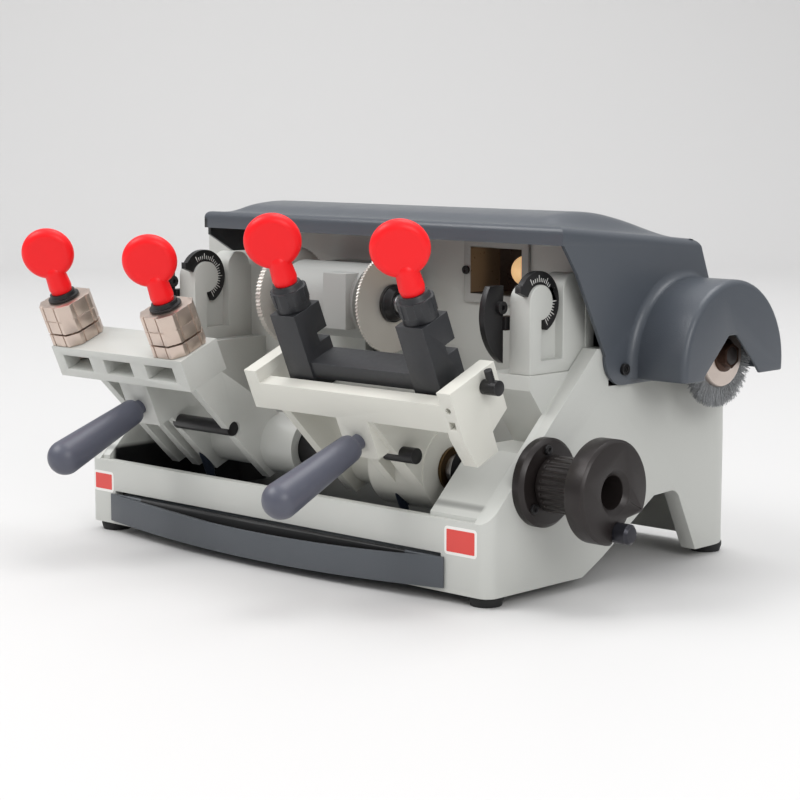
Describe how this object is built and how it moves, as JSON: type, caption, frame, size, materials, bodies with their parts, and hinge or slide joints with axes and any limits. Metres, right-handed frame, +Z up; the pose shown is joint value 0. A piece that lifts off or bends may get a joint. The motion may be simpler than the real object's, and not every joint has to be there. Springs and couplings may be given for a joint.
{
  "type": "key duplicating machine",
  "caption": "Bench key duplicator: flat-key jaws and bit-key clamps on two tilting carriages, cutters on one spindle, tracers, wire brush, swarf tray.",
  "frame": {"origin": "on the bench, below the middle of the whole machine", "axes": "+X along the front towards the handwheel, +Y from the user towards the rear, +Z up"},
  "size_m": [0.534, 0.4256, 0.2813],
  "materials": {
    "casting": "satin light grey paint",
    "yoke": "satin warm light grey paint",
    "cover": "fine textured dark blue-grey plastic",
    "slate": "satin slate paint",
    "rubber": "matte black",
    "blackened": "blackened steel",
    "steel": "ground steel",
    "cutter_steel": "ground tool steel",
    "nickel": "satin nickel",
    "bronze": "oiled bronze",
    "red": "glossy red",
    "grip": "satin slate grey",
    "bristle": "steel wire",
    "plate": "pinkish zinc plate",
    "motor": "matte dark grey",
    "belt": "black",
    "lens": "warm frosted bulb",
    "black_plastic": "black",
    "rocker_red": "translucent red",
    "blue_steel": "blued steel",
    "wheel": "browned steel"
  },
  "bodies": {
    "base": {"base_casting": "casting", "rubber_feet": "rubber", "spindle_head": "casting", "spindle_bearings": "steel", "top_cover": "cover", "fixing_screws": "blackened", "brush_guard": "cover", "main_shaft": "steel", "end_bellows": "rubber", "wheel_flange": "blackened", "motor_body": "motor", "drive_belt": "belt", "lamp_frame": "motor", "lamp_lens": "lens", "left_tracer_arm": "casting", "right_tracer_arm": "casting", "power_inlet": "black_plastic", "switch_housing": "black_plastic"},
    "rocker": {"switch_rocker": "rocker_red"},
    "tray": {"swarf_tray": "slate"},
    "spindle": {"spindle_shaft": "steel", "flat_cutter": "cutter_steel", "bit_cutter": "cutter_steel", "cutter_nuts": "blackened", "spindle_pulley": "steel"},
    "rotor": {"motor_shaft": "steel", "motor_pulley": "steel", "brush_plate": "plate", "brush_bristles": "bristle"},
    "left_slide": {"left_bushing": "bronze"},
    "left_lift": {"left_carriage": "casting", "left_handle": "grip", "left_rod": "blackened", "left_stop_screw": "blue_steel"},
    "jaw_a_base": {"jaw_a_lower": "nickel"},
    "jaw_a_top": {"jaw_a_upper": "nickel", "jaw_a_collar": "blackened"},
    "jaw_a_knob": {"knob_a": "red"},
    "jaw_b_base": {"jaw_b_lower": "nickel"},
    "jaw_b_top": {"jaw_b_upper": "nickel", "jaw_b_collar": "blackened"},
    "jaw_b_knob": {"knob_b": "red"},
    "right_slide": {"right_bushing": "bronze", "shaft_sleeve": "blackened"},
    "right_lift": {"right_carriage": "yoke", "right_handle": "grip", "right_rod": "blackened", "right_stop_screw": "blue_steel", "clamp_bracket": "blackened"},
    "clamp_c": {"clamp_head_c": "blackened"},
    "clamp_c_knob": {"knob_c": "red"},
    "clamp_d": {"clamp_head_d": "blackened"},
    "clamp_d_knob": {"knob_d": "red"},
    "wing": {"wing_bolt": "blackened"},
    "wheel": {"handwheel": "wheel"},
    "crank": {"crank_pin": "blue_steel"},
    "dial_left": {"left_dial": "blackened"},
    "tracer_left": {"left_tracer": "blackened"},
    "dial_right": {"right_dial": "blackened"},
    "tracer_right": {"right_tracer": "blackened"}
  },
  "joints": [
    {"name": "switch_tilt", "type": "hinge", "parent": "base", "child": "rocker", "pos_m": [-0.155, 0.20235, 0.076], "axis": [1, 0, 0], "range_deg": [-14, 0]},
    {"name": "tray_slide", "type": "slide", "parent": "base", "child": "tray", "axis": [0, -1, 0], "range_m": [0, 0.09]},
    {"name": "motor_spin", "type": "hinge", "parent": "base", "child": "rotor", "pos_m": [-0.04, 0.14084, 0.168], "axis": [1, 0, 0], "continuous": true},
    {"name": "spindle_spin", "type": "hinge", "parent": "base", "child": "spindle", "pos_m": [-0.04, -0.01716, 0.206], "axis": [1, 0, 0], "continuous": true},
    {"name": "left_travel", "type": "slide", "parent": "base", "child": "left_slide", "axis": [1, 0, 0], "range_m": [-0.008, 0.01]},
    {"name": "left_lift", "type": "hinge", "parent": "left_slide", "child": "left_lift", "pos_m": [-0.14, -0.03916, 0.087], "axis": [-1, 0, 0], "range_deg": [0, 23]},
    {"name": "jaw_a_turn", "type": "hinge", "parent": "left_lift", "child": "jaw_a_base", "pos_m": [-0.238, -0.12895, 0.17056], "axis": [0, -0.3907, 0.9205], "range_deg": [0, 270]},
    {"name": "jaw_a_clamp", "type": "slide", "parent": "jaw_a_base", "child": "jaw_a_top", "axis": [0, -0.3907, 0.9205], "range_m": [0, 0.00495]},
    {"name": "knob_a_turn", "type": "hinge", "parent": "jaw_a_top", "child": "jaw_a_knob", "pos_m": [-0.238, -0.1477, 0.21474], "axis": [0, -0.3907, 0.9205], "range_deg": [0, 1440]},
    {"name": "jaw_b_turn", "type": "hinge", "parent": "left_lift", "child": "jaw_b_base", "pos_m": [-0.109, -0.12895, 0.17056], "axis": [0, -0.3907, 0.9205], "range_deg": [0, 270]},
    {"name": "jaw_b_clamp", "type": "slide", "parent": "jaw_b_base", "child": "jaw_b_top", "axis": [0, -0.3907, 0.9205], "range_m": [0, 0.00495]},
    {"name": "knob_b_turn", "type": "hinge", "parent": "jaw_b_top", "child": "jaw_b_knob", "pos_m": [-0.109, -0.1477, 0.21474], "axis": [0, -0.3907, 0.9205], "range_deg": [0, 1440]},
    {"name": "right_travel", "type": "slide", "parent": "base", "child": "right_slide", "axis": [1, 0, 0], "range_m": [-0.0094, 0.0094]},
    {"name": "right_lift", "type": "hinge", "parent": "right_slide", "child": "right_lift", "pos_m": [0.06, -0.03916, 0.087], "axis": [-1, 0, 0], "range_deg": [0, 23]},
    {"name": "clamp_c_press", "type": "slide", "parent": "right_lift", "child": "clamp_c", "axis": [0, -0.3907, 0.9205], "range_m": [0, 0.00495]},
    {"name": "knob_c_turn", "type": "hinge", "parent": "clamp_c", "child": "clamp_c_knob", "pos_m": [0.021, -0.13884, 0.2348], "axis": [0, -0.3907, 0.9205], "range_deg": [0, 1440]},
    {"name": "clamp_d_press", "type": "slide", "parent": "right_lift", "child": "clamp_d", "axis": [0, -0.3907, 0.9205], "range_m": [0, 0.00495]},
    {"name": "knob_d_turn", "type": "hinge", "parent": "clamp_d", "child": "clamp_d_knob", "pos_m": [0.15, -0.13884, 0.2348], "axis": [0, -0.3907, 0.9205], "range_deg": [0, 1440]},
    {"name": "wing_turn", "type": "hinge", "parent": "right_lift", "child": "wing", "pos_m": [0.186, -0.10166, 0.16259], "axis": [1, 0, 0], "range_deg": [-90, 90]},
    {"name": "wheel_turn", "type": "hinge", "parent": "base", "child": "wheel", "pos_m": [0.207, -0.03916, 0.087], "axis": [1, 0, 0], "range_deg": [-540, 540]},
    {"name": "crank_pull", "type": "slide", "parent": "wheel", "child": "crank", "axis": [1, 0, 0], "range_m": [0, 0.02]},
    {"name": "left_dial_turn", "type": "hinge", "parent": "base", "child": "dial_left", "pos_m": [-0.203, -0.02216, 0.216], "axis": [1, 0, 0], "range_deg": [-18, 18]},
    {"name": "left_tracer_feed", "type": "slide", "parent": "base", "child": "tracer_left", "axis": [0, 1, 0], "range_m": [-0.0014, 0.0014]},
    {"name": "right_dial_turn", "type": "hinge", "parent": "base", "child": "dial_right", "pos_m": [0.167, -0.02216, 0.216], "axis": [1, 0, 0], "range_deg": [-18, 18]},
    {"name": "right_tracer_feed", "type": "slide", "parent": "base", "child": "tracer_right", "axis": [0, 1, 0], "range_m": [-0.0014, 0.0014]}
  ],
  "couplings": [
    {"joint": "spindle_spin", "follows": "motor_spin", "ratio": 1.25},
    {"joint": "wheel_turn", "follows": "right_travel", "rad_per_m": 1000},
    {"joint": "left_dial_turn", "follows": "left_tracer_feed", "rad_per_m": 222.2},
    {"joint": "right_dial_turn", "follows": "right_tracer_feed", "rad_per_m": 222.2},
    {"joint": "knob_a_turn", "follows": "jaw_a_clamp", "rad_per_m": 5026.5},
    {"joint": "knob_b_turn", "follows": "jaw_b_clamp", "rad_per_m": 5026.5},
    {"joint": "knob_c_turn", "follows": "clamp_c_press", "rad_per_m": 5026.5},
    {"joint": "knob_d_turn", "follows": "clamp_d_press", "rad_per_m": 5026.5}
  ]
}
